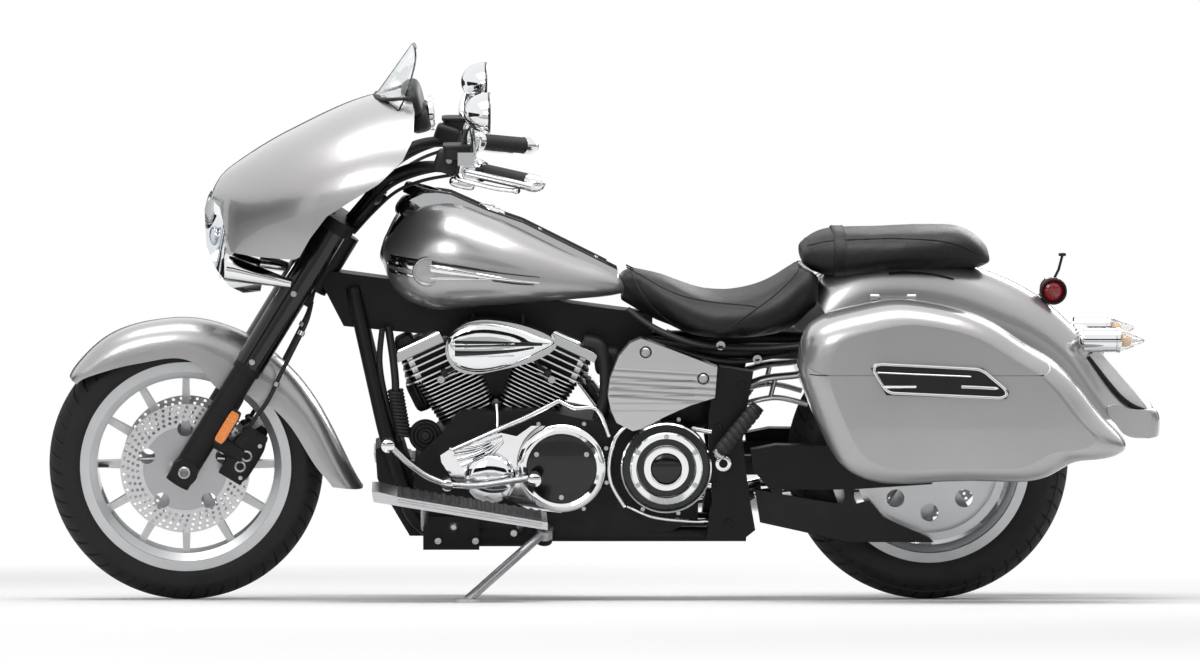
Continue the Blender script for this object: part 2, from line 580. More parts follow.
# Each tyre: outer radius, crown, half width at the shoulder, side curve, flange radius, half width at the bead.
tyres = {"front": (316, 66, 60, 70, 243, 54), "rear": (326, 105, 91, 62, 230, 82)}
GROOVE_DEPTH, GROOVES, SWEEP = 4.5, 52, 0.17
RING_AT, RING_HALF = 0.145, 0.03
row_shares = np.array([0, 0.1, 0.12, 0.17, 0.19, 0.24, 0.34, 0.46, 0.58, 0.7, 0.8, 0.88, 0.94, 1.0])
row_slant = np.array([0, 0, 0, 0, 0, 1, 1, 1, 1, 1, 1, 1, 0, 0.0])
pitch_shares = np.array([0, 0.05, 0.09, 0.18, 0.22, 0.5, 0.55, 0.59, 0.68, 0.72])
pitch_left = np.array([0, 0, 1, 1, 0, 0, 0, 0, 0, 0.0])
for end, (outer, crown, half, curve, flange, over) in tyres.items():
    w = np.concatenate([-row_shares[:0:-1], row_shares]) * half
    slant = np.concatenate([row_slant[:0:-1], row_slant])
    ring = np.abs(np.abs(w) / half - RING_AT) < RING_HALF
    tread = np.stack([outer - crown + np.sqrt(crown ** 2 - w ** 2), w], -1)
    chord = np.array([flange + 1, over + 0.0]) - tread[-1]
    long = np.hypot(*chord)
    t = np.linspace(0, 1, 9)[1:]
    sag = curve - math.sqrt(curve ** 2 - long ** 2 / 4)
    out = np.array([-chord[1], chord[0]]) / long
    out = out if out[1] > 0 else -out
    wall = tread[-1] + t[:, None] * chord + (4 * sag * t * (1 - t))[:, None] * out
    wall[4:6, 1] += 0.9
    inner = np.array([(flange - 4, over - 16), (outer - 26, half * 0.8), (outer - 14, 0), (outer - 26, -half * 0.8),
        (flange - 4, 16 - over)])
    section = np.concatenate([tread, wall, inner, wall[::-1] * (1, -1)])
    turn = (np.arange(GROOVES)[:, None] + pitch_shares).ravel() * 2 * math.pi / GROOVES
    left, right = np.tile(pitch_left, GROOVES), np.tile(np.roll(pitch_left, 5), GROOVES)
    cut = np.where(section[:len(w), 1][:, None] < 0, left, right) * slant[:, None]
    depth = np.zeros((len(section), len(turn)))
    depth[:len(w)] = GROOVE_DEPTH * np.maximum(cut, ring[:, None])
    bend = np.full(len(section), SWEEP)
    bend[:len(w)] *= np.sqrt(np.abs(w) / half)
    angle = turn[None] + bend[:, None]
    radius = section[:, :1] - depth
    cx, cz = AXLES[end]
    width = np.broadcast_to(section[:, 1:], angle.shape)
    grid = np.stack([cx + radius * np.cos(angle), width, cz + radius * np.sin(angle)], -1)
    made = piece(end + "_tyre_tread", [skin(grid, wrap_rows=True)], rubber, end + "_wheel_set", sharp=40)
    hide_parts(end + "_tyre")

# Valves and hub: the short rubber valve stem of each rim, and the bolts and ring of the front hub.
black_rubber, place = coating("black_rubber")
close(place, (0.012, 0.012, 0.012), 0.5 + 0.2 * noise(place, 0.8, 3), noise(place, 0.8, 3) * 0.0001)
for end, inner in (("front", 212), ("rear", 200)):
    cx, cz = AXLES[end]
    stem = turned([(0, 0), (5, 0), (4, 8), (3, 24), (0, 24)], (cx - inner + 12, -26, cz), (1, -0.5, 0), 14)
    piece(end + "_valve", [stem], black_rubber, end + "_wheel_set")
cx, cz = AXLES["front"]
fifths = np.arange(5) * 2 * math.pi / 5 + 0.3
hub_bolts = bolts([(cx + 34 * math.cos(a), -81, cz + 34 * math.sin(a)) for a in fifths], 5.5)
hub_ring = turned([(27, 0), (27, 3), (20, 4), (13.5, 4), (13.5, 0)], (cx, -80.6, cz))
piece("front_hub_bolts", hub_bolts + [hub_ring], wheel_silver, "front_wheel_set")

# Fork: each leg carries a caliper behind it, a clamped amber reflector and the hollow end of the axle. Two rubber
# brake hoses run from the lower yoke to the calipers, held by clips on the fender.
FORK_UP, FORK_BACK = np.array([0.5195, 0, 0.8545]), np.array([0.8545, 0, -0.5195])
FRONT_AXLE = np.array([-1715, 0, 315.62])


def pod(centre, half_sizes, power=4.0, tilt=0.0, around=36, rings=20):
    """A rounded box: each direction's reach is where the sum of its shares to a power is one. Tilted about Y."""
    v, u = np.linspace(-math.pi / 2, math.pi / 2, rings)[:, None], np.arange(around) * 2 * math.pi / around
    way = np.stack([np.cos(v) * np.cos(u), np.cos(v) * np.sin(u), np.sin(v) + 0 * u], -1)
    reach = (np.abs(way) ** power).sum(-1) ** (-1 / power)
    points = way * reach[..., None] * half_sizes
    x, y, z = np.moveaxis(points, -1, 0)
    c, s = math.cos(math.radians(tilt)), math.sin(math.radians(tilt))
    return skin(np.asarray(centre, float) + np.stack([x * c + z * s, y, z * c - x * s], -1))


def both(parts):
    """The parts and their mirror images on the other side."""
    return parts + [(places * (1, -1, 1), faces[:, ::-1]) for places, faces in parts]


caliper = FRONT_AXLE + 98 * FORK_UP + 97 * FORK_BACK
pots = [caliper + FORK_UP * u + FORK_BACK * 6 + (0, -129.5, 0) for u in (-22, 6)]
piece("caliper_bodies", both([
    pod(caliper + (0, -108, 0) + FORK_BACK * 2, (34, 21, 60), 4, 31.3, 32, 16),
    pod(caliper + (0, -112, 0) - FORK_BACK * 22 + FORK_UP * 8, (16, 14, 38), 4, 31.3, 28, 12)
]), cast_black, "steering")
piece("caliper_pistons", both(
    [turned([(13, -3), (13, 2), (11, 3.5), (9, 2), (8, -1), (0, -1)], p, around=28) for p in pots]
    + bolts([caliper + FORK_UP * u + FORK_BACK * 20 + (0, -128.5, 0) for u in (-44, 42)], 5)
    + [turned([(9, -2), (14, -2), (14, 2), (12, 4), (10, 4), (9, 2), (9, -2)], FRONT_AXLE + (0, -151, 0),
        around=32)]), satin_alloy, "steering")
amber, place = coating("amber_reflector")
cells = place.node("TexVoronoi", {}, {"Vector": place, "Scale": 0.35})
close(place, cells.mix((0.75, 0.16, 0.01), (0.95, 0.32, 0.03)), 0.12 + 0.2 * cells, cells * 0.0004, coat=1.0)
reflector = np.array([-1617, -141, 420.0])
piece("reflector_lenses", both([pod(reflector + (0, -4, 0), (12, 4, 40), 6, 31.3, 28, 14)]), amber,
    "steering")
piece("reflector_mounts", both([pod(reflector + (0, 3, 0), (15, 5, 45), 6, 31.3, 28, 14),
    swept([reflector + (-6, 4, 6), reflector + (-24, 8, 14)], 8)]), black_plain, "steering")
hose = smooth([(-1424, -62, 700), (-1436, -84, 655), (-1468, -97, 590), (-1496, -101, 535), (-1523, -103, 478),
    (-1556, -104, 432), (-1572, -104, 405)], 44)
piece("brake_hoses", both([swept(hose, 5, 12),
    turned([(0, 0), (8, 0), (8, 14), (5, 18), (0, 18)], hose[-1] + (0, 0, -6), (-0.2, 0, 1))
]), black_rubber, "steering")
piece("hose_clips", both(
    [turned([(5, -5), (8, -5), (8, 5), (5, 5)], hose[k], hose[k + 1] - hose[k - 1], 20) for k in (10, 24)]
    + [swept([hose[k], hose[k] + (2, 22, 0)], 4) for k in (10, 24)]), satin_alloy, "steering")
piece("yoke_bolts",
    both(bolts([FRONT_AXLE + FORK_UP * t + (0, -156, 0) for t in (484, 300)], 7)),
    satin_alloy, "steering")

# Bars: rubber grips on a black tube, each ending in a chrome bullet, with chrome switch blocks and levers, black
# fluid boxes and switches, and teardrop mirrors on chrome necks.
GRIP_LINE, BAR_END = np.array([0.8219, -0.5548, -0.129]), np.array([-925.7, -430, 1012.7])


def on_bar(back, x=0, y=0, z=0):
    """A spot on the line of the left grip, this far in from the bar's end, moved by X, Y and Z."""
    return BAR_END - GRIP_LINE * back + (x, y, z)


sleeve = [(17.1, 3)] + [(19.2 - 0.9 * (k % 2), 3 + k * 2.0) for k in range(61)] + [(17.1, 124)]
piece("grip_rubber", both([turned(sleeve, on_bar(5), -GRIP_LINE, 36)]), black_rubber, "steering")
switch_arm = [on_bar(168, -6, 0, 46), on_bar(168, -12, -6, 66), on_bar(168, -8, -30, 92), on_bar(168, 4, -52, 112)]
lever = [on_bar(150, -40, -20, -10), on_bar(120, -52, -34, -14), on_bar(40, -44, -30, -18),
    on_bar(-2, -30, -22, -16)]
piece("grip_ends", both([
    turned([(0, -4), (20, -4), (21, 4), (20, 14), (16, 26), (9, 35), (0, 38)], on_bar(4), GRIP_LINE, 36),
    turned([(18, 0), (23, 0), (24, 6), (23, 12), (18, 12)], on_bar(142), GRIP_LINE, 36),
    pod(on_bar(166, 0, 0, -2), (31, 30, 27), 5, 9), pod(on_bar(176, -10, -6, -34), (30, 24, 12), 3, 14),
    tube(switch_arm, 20, 9, 16),
    tube(lever, 28, [7.0] * 24 + [8, 10, 10, 8], 14, (1.5, 0.7))]), chrome, "steering")
piece("fluid_boxes", both([pod(on_bar(168, -26, 0, 38), (32, 40, 15), 6),
    pod(on_bar(168, -26, 0, 52), (35, 43, 5), 6), pod(on_bar(205, -18, 6, 8), (30, 28, 26), 5, 18),
    pod(on_bar(150, 6, -26, -2), (9, 8, 12), 4)]), black_plain, "steering")
piece("switches", both(
    [pod(on_bar(162, 26, -16, 10), (6, 9, 5), 4), pod(on_bar(168, 26, -12, -8), (6, 7, 7), 4)]
    + bolts([on_bar(205, -16, -22, 14)], 7)), satin_alloy, "steering")
glass_mirror, place = coating("mirror_glass")
close(place, (0.66, 0.69, 0.72), 0.015 + 0.02 * noise(place, 0.01, 2), noise(place, 0.01, 2) * 0.0001, metal=1.0)
mirror = np.array([-1021.5, -401, 1166.0])
piece("mirror_faces", both([pod(mirror + (1.5, 0, 0), (1.6, 81, 40), 2.2)]), glass_mirror, "steering")
ring = np.linspace(0, 2 * math.pi, 73)
rim = mirror + np.stack([0 * ring, 85 * np.cos(ring), 44 * np.sin(ring)], -1)
piece("mirror_rims", both([swept(rim, 3.6, 10)]), gloss_black, "steering")
cable = smooth(
    [on_bar(200, -20, 4, -4), (-1178, -262, 1016), (-1238, -196, 984), (-1290, -120, 930), (-1330, -60, 880)], 40)
piece("control_cables",
    both([swept(cable, 5, 10), swept(cable + (8, 0, -16), 4, 10), swept(cable + (-2, 8, 12), 3.5, 10)]),
    black_plain, "steering")

# Fairing: instruments in a padded black hood under a short clear screen, its foot bolted through a black strip.
piece("dash_hood", [pod((-1192, 0, 1164), (24, 150, 40), 3.2, -14), pod((-1176, 0, 1122), (28, 120, 34), 3.2, -14)],
    black_plain, "steering")
dials, place = coating("dial_faces")
x, y, z = place.parts()
TICKS = 6.366
aside, above = abs(y) - 60, z - 1130
tick = place.math("FRACT", place.math("ARCTAN2", above, aside) * TICKS)
reach = place.math("SQRT", above * above + aside * aside)
marks = (tick < 0.14) * (reach > 24.0) * (reach < 30.0)
close(place, marks.mix((0.9, 0.9, 0.9), (0.04, 0.04, 0.045)), 0.3 + 0.05 * marks, coat=1.0)
piece("dials", both([turned([(0, 1), (31, 1), (31, -4)], (-1148, -60, 1130), (1, 0, 0.1), 48)]), dials,
    "steering")
piece("dial_rims",
    both([turned([(30, -6), (30, 3), (33, 5), (36, 2), (36, -6)], (-1148, -60, 1130), (1, 0, 0.1), 48)]), chrome,
    "steering")
strip = [(-1272, -60, 1172), (-1258, -120, 1172), (-1232, -165, 1176), (-1196, -190, 1180)]
piece("screen_strip", both(
    [tube(strip, 30, 5, 10, (1.6, 0.9)), tube([(-1276, 0, 1171), (-1272, -60, 1172)], 6, 5, 10, (1.6, 0.9))]
), black_plain, "steering")
piece("screen_bolts", both(bolts([(-1259, -116, 1176), (-1216, -178, 1182)], 6, (0, -0.4, 1))
    + bolts([(-1272, -36, 1175)], 6, (-0.3, 0, 1))), satin_alloy, "steering")
piece("headlamp_bowl", [pod((-1626, 0, 848), (5, 98, 86), 2.3, 10), pod((-1634, 0, 848), (9, 22, 22), 2)],
    glass_mirror, "steering")
piece("headlamp_rim",
    [swept(np.stack([-1621 + 12 * np.sin(ring), 112 * np.cos(ring), 848 + 97 * np.sin(ring)], -1), 4.5, 12)],
    chrome, "steering")
clear_lens, place = coating("clear_lens")
x, y, z = place.parts()
flutes = place.math("SINE", z * 0.9) * 0.5 + 0.5
close(place, (0.93, 0.95, 0.97), 0.03 + 0.04 * flutes, flutes * 0.0003, clear=0.85, index=1.35)

# Bodywork: steel and moulded panels sprayed with fine silver metallic under a clear lacquer.
silver_paint, place = coating("silver_paint")
fleck = place.node("TexVoronoi", {}, {"Vector": place, "Scale": 1.6}, out=1)
bright = fleck.parts()[0]
cloud = noise(place, 0.004, 2)
close(place, (0.35 * bright + 0.65 * cloud).mix((0.36, 0.35, 0.355), (0.49, 0.48, 0.485)), 0.30 + 0.08 * bright,
    bright * 0.00001, metal=0.82, coat=1.0, coat_rough=0.02)
for name in ("fairing", "front_fender", "rear_fender", "fuel_tank", "saddlebag_left", "saddlebag_right", "lid_left",
    "lid_right"):
    dress(name, silver_paint)

black_plastic = two_tone("black_plastic", (0.006, 0.006, 0.007), (0.014, 0.014, 0.015), (0.02, 2), (1.1, 3),
    (0.42, 0.2), 0.00008, shine=0.3)
for name in ("fairing_panel", "belt_guard", "latch_left", "latch_right", "passenger_pegs", "grips"):
    dress(name, black_plastic)
brushed, place = coating("brushed_steel")
lines = place.node("TexNoise", {}, {
    "Vector": place.node("Mapping", {}, {"Vector": place, "Scale": (0.01, 2.0, 2.0)}), "Scale": 1.0, "Detail": 2.0})
close(place, lines.mix((0.5, 0.51, 0.53), (0.68, 0.68, 0.69)), 0.2 + 0.15 * lines, lines * 0.00002, metal=1.0)
for name in ("front_axle", "rear_axle", "side_stand", "shift_lever", "brake_pedal", "floorboards"):
    dress(name, brushed)
clear_glass, place = coating("clear_screen")
close(place, (0.93, 0.95, 0.96), 0.02 + 0.03 * noise(place, 0.02, 2), clear=1.0, index=1.3)
for name in ("windshield", "headlamp_lens"):
    dress(name, clear_glass)

# Tank: pressed steel under silver, with a chrome spear and a plain round badge on each side, and a chrome console
# down the middle that ends in a black instrument hood.
tank = nodes["fuel_tank"]
spear = smooth([(-1250, 794), (-1200, 793), (-1140, 790), (-1070, 780), (-990, 767), (-902, 754)], 60)
low_line = smooth([(-1248, 776), (-1200, 770), (-1150, 768), (-1080, 768), (-1020, 767)], 40)
# The badge: each radius of its turned face and how far it stands out.
badge = ((0, 7), (8, 6.8), (15, 6.0), (23, 5.0), (27, 5.0), (29, 7.5), (32, 7.0), (34, 3), (34, -6))
star = np.arange(96) * 2 * math.pi / 96
face = np.array([[(r * math.cos(a), h, r * math.sin(a)) for a in star] for r, h in badge])
taper = np.concatenate([np.linspace(4, 9, 8), np.full(18, 9.0), np.linspace(9, 1.2, 34)])
for side, hand in SIDES:
    piece("tank_spear_" + hand,
        [band(tank, spear, taper, side, 4.0), band(tank, low_line, np.linspace(5, 1, 40), side, 3.5)], chrome)
    piece("tank_inlay_" + hand, [
        band(tank, spear[2:] + (0, 13), np.linspace(6, 1.0, 58), side, 1.6),
        band(tank, smooth([(-1010, 763), (-960, 755), (-915, 750)], 20),
            np.linspace(1, 5, 20) * np.linspace(1, 0.2, 20), side, 4.6)], gloss_black)
    seat = on_side(tank, -1159, 783, side)[0]
    piece("tank_badge_" + hand, [skin(seat + face * (1, side, 1))], satin_alloy)
console = nodes["tank_console"]
cap = laid_on(console, [(-1010, 0, 0)], 2, 1)[0], (0.35, 0, 0.94)
piece("fuel_cap", [
    turned([(0, 10), (20, 9), (31, 6), (33, 2), (33, -6)], *cap, 48),
    turned([(6, 10), (8, 12), (5, 13), (0, 13)], *cap, 24)], chrome)
for side, hand in SIDES:
    edge = laid_on(console, [(x, side * 40.0, 0) for x in np.linspace(-1215, -745, 60)], 2, 1, 1.0)
    piece("console_edge_" + hand, [swept(edge, 3.0, 8)], gloss_black)
dial = laid_on(console, [(-1170, 0, 0)], 2, 1)[0], (0.25, 0, 0.97)
piece("speedometer_hood", [
    turned([(44, -10), (45, 6), (42, 14), (37, 14), (35, 6), (35, 0)], *dial, 56),
    pod((-1226, 0, 846), (26, 62, 70), 3.0, 24),
    pod((-1196, 0, 905), (36, 56, 30), 2.8, 38)], gloss_black)
piece("speedometer_glass", [turned([(0, 7), (20, 6.5), (36, 4), (36, 0)], *dial, 48)], dials)
piece("console_bolts",
    bolts(laid_on(console, [(x, y, 0) for x in (-900, -770) for y in (-14, 14)], 2, 1, -1), 5, (0.45, 0, 0.9)),
    satin_alloy)

# Seats: foam under black grained leather, with a stitched welt round the rider's side panels, a stitched crown
# line on the pillion and a strap across its nose. Both pads sit in the space of their solid.
leather, place = coating("black_leather")
cells = place.node("TexVoronoi", {"feature": "DISTANCE_TO_EDGE"}, {"Vector": place, "Scale": 0.42})
crease, cloud = noise(place, 0.03, 4, 0.6), noise(place, 0.006, 2)
grain = cells.step(0.0, 0.35)
close(place, (0.6 * cloud + 0.4 * grain).mix((0.004, 0.004, 0.0045), (0.011, 0.011, 0.011)),
    0.32 + 0.16 * crease + 0.08 * (1 - grain), grain * 0.00022 + crease * 0.0012, shine=0.36)


# In metres: the pad's even cells, how far it starts inside its solid and how far a point may move out. Then the
# pressure, and the frames that it acts for.
CELL, SHRINK, CAP, PRESSURE, STEPS = 0.0055, 0.004, 0.006, 4.0, 20


def padded_seat(name, node):
    """A pad grown by cloth pressure from a slightly shrunken copy of the seat's solid, no point past the cap."""
    made = bpy.data.objects.new(name, nodes[node].data.copy())
    bpy.context.scene.collection.objects.link(made)
    work = bmesh.new()
    work.from_mesh(made.data)
    bmesh.ops.remove_doubles(work, verts=work.verts, dist=1e-5)
    bmesh.ops.recalc_face_normals(work, faces=work.faces)
    work.to_mesh(made.data)
    work.free()
    bpy.context.view_layer.objects.active = made
    made.select_set(True)
    remesh = made.modifiers.new("even_cells", "REMESH")
    remesh.mode, remesh.voxel_size = "VOXEL", CELL
    bpy.ops.object.modifier_apply(modifier=remesh.name)
    mesh = made.data
    places, out = np.zeros(len(mesh.vertices) * 3), np.zeros(len(mesh.vertices) * 3)
    mesh.vertices.foreach_get("co", places)
    mesh.vertex_normals.foreach_get("vector", out)
    start_places = places - out * SHRINK
    mesh.vertices.foreach_set("co", start_places)
    round_off = made.modifiers.new("soft_edges", "SMOOTH")
    round_off.factor, round_off.iterations = 0.6, 10
    bpy.ops.object.modifier_apply(modifier=round_off.name)
    mesh.vertices.foreach_get("co", start_places)
    cloth = made.modifiers.new("pressure", "CLOTH")
    cloth.settings.use_pressure, cloth.settings.uniform_pressure_force = True, PRESSURE
    cloth.settings.effector_weights.gravity = 0.0
    cloth.settings.quality = 4
    scene = bpy.context.scene
    for step in range(1, STEPS + 1):
        scene.frame_set(step)
    shaped = made.evaluated_get(bpy.context.evaluated_depsgraph_get()).data
    grown = np.zeros(len(shaped.vertices) * 3)
    shaped.vertices.foreach_get("co", grown)
    move = (grown - start_places).reshape(-1, 3)
    long = np.linalg.norm(move, axis=1, keepdims=True)
    made.modifiers.remove(cloth)
    scene.frame_set(1)
    start_places = start_places + (move * np.minimum(1, CAP / np.maximum(long, 1e-9))).ravel()
    mesh.vertices.foreach_set("co", start_places)
    finer = made.modifiers.new("finer", "SUBSURF")
    finer.levels = finer.render_levels = 1
    bpy.ops.object.modifier_apply(modifier=finer.name)
    made.select_set(False)
    made.data.polygons.foreach_set("use_smooth", np.ones(len(made.data.polygons), bool))
    made.data.materials.clear()
    made.data.materials.append(leather)
    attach(made, "chassis")
    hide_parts(node)
    return made


rider = padded_seat("rider_pad", "rider_seat")
pillion = padded_seat("pillion_pad", "passenger_seat")
thread, place = coating("seam_thread")
twist = noise(place, 1.5, 2)
close(place, (0.03, 0.03, 0.032), 0.5 + 0.2 * twist, twist * 0.0002)


def stitches(path, pitch=6.0, radius=0.9):
    """Short threads laid end to end along a line: each a four-sided lozenge from one needle hole to the next."""
    path = np.asarray(path, float)
    run = np.concatenate([[0], np.cumsum(np.linalg.norm(np.diff(path, axis=0), axis=1))])
    at = np.arange(pitch / 2, run[-1] - pitch, pitch)
    heads = np.stack([np.interp(at, run, path[:, k]) for k in range(3)], -1)
    tails = np.stack([np.interp(at + pitch * 0.68, run, path[:, k]) for k in range(3)], -1)
    middle, way = (heads + tails) / 2, tails - heads
    side = np.cross(way, (0, 0, 1.0))
    side /= np.maximum(np.linalg.norm(side, axis=1, keepdims=True), 1e-9)
    up = np.cross(side, way)
    up /= np.linalg.norm(up, axis=1, keepdims=True)
    ring = [middle + side * radius, middle + up * radius, middle - side * radius, middle - up * radius]
    spots = np.stack([heads] * 4 + ring + [tails] * 4, 1).reshape(-1, 3)
    shape = faces_of(3, 4, False, True)
    return spots, (shape[None] + 12 * np.arange(len(heads))[:, None, None]).reshape(-1, 4)


# Each seam: the line it follows on the seat's side, from the photograph.
rider_lines = [
    [(-700, 776), (-662, 758), (-610, 733), (-560, 717), (-500, 707), (-430, 703), (-405, 700)],
    [(-506, 640), (-470, 656), (-420, 688), (-370, 720), (-330, 752), (-300, 782)],
    [(-690, 770), (-676, 738), (-650, 700), (-610, 664), (-570, 642)]]
pillion_lines = [[(-285, 832), (-240, 845), (-180, 850), (-80, 853), (0, 850), (60, 838), (110, 812)]]
for made, name, lines, thick in ((rider, "rider", rider_lines, 1.8), (pillion, "pillion", pillion_lines, 1.6)):
    welts, threads = [], []
    for line in lines:
        flat = smooth(line, 60)
        for side in (-1, 1):
            path = on_side(made, *flat.T, side, 0.4)
            keep = np.abs(np.gradient(path[:, 1])) < 14
            keep = keep if keep.sum() > 20 else slice(None)
            welts.append(swept(path[keep], thick, 8))
            threads.append(stitches(on_side(made, flat[:, 0], flat[:, 1] - 7, side, 0.5)[keep]))
    piece(name + "_welts", welts, leather)
    piece(name + "_stitching", threads, thread)
# The strap: a flat loop that follows the pad's own outline at its nose, evened out, with a thread on each edge.
STRAP_X, FLATTER = -212.0, 1.6
corners = real_mesh(pillion)[0]
near = corners[np.abs(corners[:, 0] - STRAP_X) < 8]
middle_z = (near[:, 2].max() + near[:, 2].min()) / 2
heading = np.arctan2((near[:, 2] - middle_z) * FLATTER, near[:, 1])
reach = np.hypot(near[:, 1], near[:, 2] - middle_z)
order = np.argsort(heading)
loop = np.linspace(-math.pi, math.pi, 73)
size = np.interp(loop, heading[order], reach[order], period=2 * math.pi)
size = np.convolve(np.concatenate([size[-6:-1], size, size[1:6]]), np.ones(5) / 5, "same")[5:-5]
way = np.arctan2(np.sin(loop) / FLATTER, np.cos(loop))
out = np.stack([0 * loop, np.cos(way), np.sin(way)], -1)
strap = (STRAP_X, 0, middle_z) + size[:, None] * out
wide = []
for dx, grow in ((-15, 0.5), (-14, 3.4), (0, 4.0), (14, 3.4), (15, 0.5), (13, -2.0), (-13, -2.0)):
    wide.append(strap + out * grow + (dx, 0, 0))
piece("pillion_strap", [skin(np.array(wide).transpose(1, 0, 2))], leather)
for dx, end in ((-11, "front"), (11, "back")):
    piece("strap_stitching_" + end, [stitches(strap + out * 4.0 + (dx, 0, 0), 5.0)], thread)

# Side covers: pressed alloy, brushed along the ribs and held by two socket bolts; under the seat runs a black rail.
brushed_cover, place = coating("brushed_cover")
x, y, z = place.parts()
lines = place.node("TexNoise", {}, {
    "Vector": place.node("Mapping", {}, {"Vector": place, "Scale": (0.004, 2.0, 6.0)}), "Scale": 1.0,
    "Detail": 2.0})
RIB_SLOPE, RIB_RATE, RIBBED = 0.06, 0.42, (445.0, 519.8)
level = z + RIB_SLOPE * x
ribs = place.math("SINE", level * RIB_RATE) * 0.5 + 0.5
near = (level > RIBBED[0]) * (level < RIBBED[1])
close(place, (0.14 * lines + 0.86 * (1 - ribs * near)).mix((0.30, 0.295, 0.295), (0.62, 0.615, 0.615)),
    0.26 + 0.08 * lines, ribs * near * 0.0022 + lines * 0.00002, metal=0.9, coat=0.3, coat_rough=0.1)
dress("side_covers", brushed_cover)
held = [(on_side(nodes["side_covers"], x, z, side)[0], (0, side, 0)) for side in (-1, 1)
    for x, z in ((-660, 598), (-528, 537))]
recess = [(10.5, 0), (14, 0), (14, 1.2), (12, 1.8), (10.5, 1.2), (10.5, 0)]
piece("side_cover_recesses", [turned(recess, *spot, 28) for spot in held], gloss_black)
button = [(0, 0), (10, 0), (10, 2), (8, 4), (5, 4), (5, 1), (0, 1)]
piece("side_cover_bolts", [turned(button, *spot, 24) for spot in held], satin_alloy)
rail = [(-700, -126, 690), (-650, -140, 655), (-590, -150, 628), (-520, -152, 610), (-400, -152, 604),
    (-300, -150, 610)]
lower_rail = [(-600, -150, 606), (-520, -156, 582), (-440, -156, 574), (-330, -152, 592)]
piece("under_seat_rail", both([tube(rail, 50, 15, 18, (0.5, 1.25)), tube(lower_rail, 40, 10, 14, (0.5, 1.1))]),
    black_plain)
piece("rail_bolts", both(bolts([(-488, -163, 612), (-404, -161, 580)], 11)), satin_alloy)

# Between the castings: throttle bodies in the vee, ignition coils and a finned regulator ahead of the front
# cylinder, hoses behind the rear one, and the polished subframe that carries the shock under the rail.
piece("throttle_bodies", [pod((-1001, 0, 512), (46, 52, 42), 5),
    turned([(0, 0), (30, 0), (30, 40), (34, 44), (34, 60), (0, 60)], (-1001, 0, 540), around=32)
], cast_black)
coils = [pod((-1196, y, 570), (24, 12, 50), 5, -26) for y in (-28, 0, 28)]
fins = [pod((-1188 + k * 11, 0, 500 - k * 5), (3, 60, 44), 8, -26) for k in range(6)]
piece("ignition_coils", coils + fins + [pod((-1160, 0, 488), (40, 40, 40), 6, -26)], cast_black)
hose_lines = [[(-800, y, 610), (-762, y, 596), (-748 + k * 6, y, 540), (-752 + k * 5, y, 470), (-776, y, 400)]
    for k, y in enumerate((-74, -40, 0, 40, 74))]
boxes = [pod((-560, 0, 446), (64, 70, 42), 5), pod((-742, 0, 560), (30, 60, 34), 5)]
piece("rear_hoses", [tube(line, 40, 15, 14) for line in hose_lines] + boxes, black_rubber)
piece("subframe_arms", both([
    tube([(-440, -112, 508), (-380, -118, 530), (-300, -118, 540), (-238, -114, 560)], 30, 12, 16, (0.7, 1.5)),
    tube([(-436, -116, 470), (-360, -120, 486), (-286, -118, 470)], 24, 9, 16, (0.7, 1.4)),
    swept([(-372, -119, 482), (-360, -119, 532)], 8, 14, (0.7, 1.5))]), satin_alloy)

# Rear fender and bags: a black trim line with a catch on each fender side, and latches in chrome surrounds.
fender_trim = smooth([(-100, 770), (-60, 772), (0, 768), (50, 757)], 36)
for side, hand in SIDES:
    piece("fender_trim_" + hand, [band(nodes["rear_fender"], fender_trim, np.linspace(3.4, 1.6, 36), side, 3.0)],
        black_plain)
    outline = np.array([(-163, 604), (-152, 611), (84, 599), (145.5, 547), (138, 534), (-128, 546), (-163, 604)])
    run = np.concatenate([[0], np.cumsum(np.hypot(*np.diff(outline, axis=0).T))])
    at = np.linspace(0, run[-1], 140)
    line = np.stack([np.interp(at, run, outline[:, 0]), np.interp(at, run, outline[:, 1])], -1)
    longer = np.concatenate([line[-4:-1], line, line[1:4]])
    soft = np.stack([np.convolve(longer[:, k], np.ones(7) / 7, "valid") for k in (0, 1)], -1)
    path = at_y(soft, side * 490.5)
    path[-1] = path[0]
    piece("latch_surround_" + hand, [swept(path, 3.6, 10),
        tube([(-150, side * 491, 592), (-60, side * 491.5, 588), (60, side * 491, 583)], 30, 3.4, 10, (1, 1.6)),
        tube([(-140, side * 491, 560), (-100, side * 493, 560), (-60, side * 491, 560)], 16,
            np.r_[1, np.full(14, 4.0), 0.5], 10),
        tube([(122, side * 491, 556), (70, side * 493, 559), (36, side * 491, 560)], 16,
            np.r_[1, np.full(14, 4.0), 0.5], 10)], chrome, hand + "_lid")
piece("bag_seal", [
    swept(on_side(nodes["saddlebag_" + hand], np.linspace(-300, 225, 60), 583.5, side, -0.6), 1.6, 8)
    for side, hand in SIDES], black_rubber)

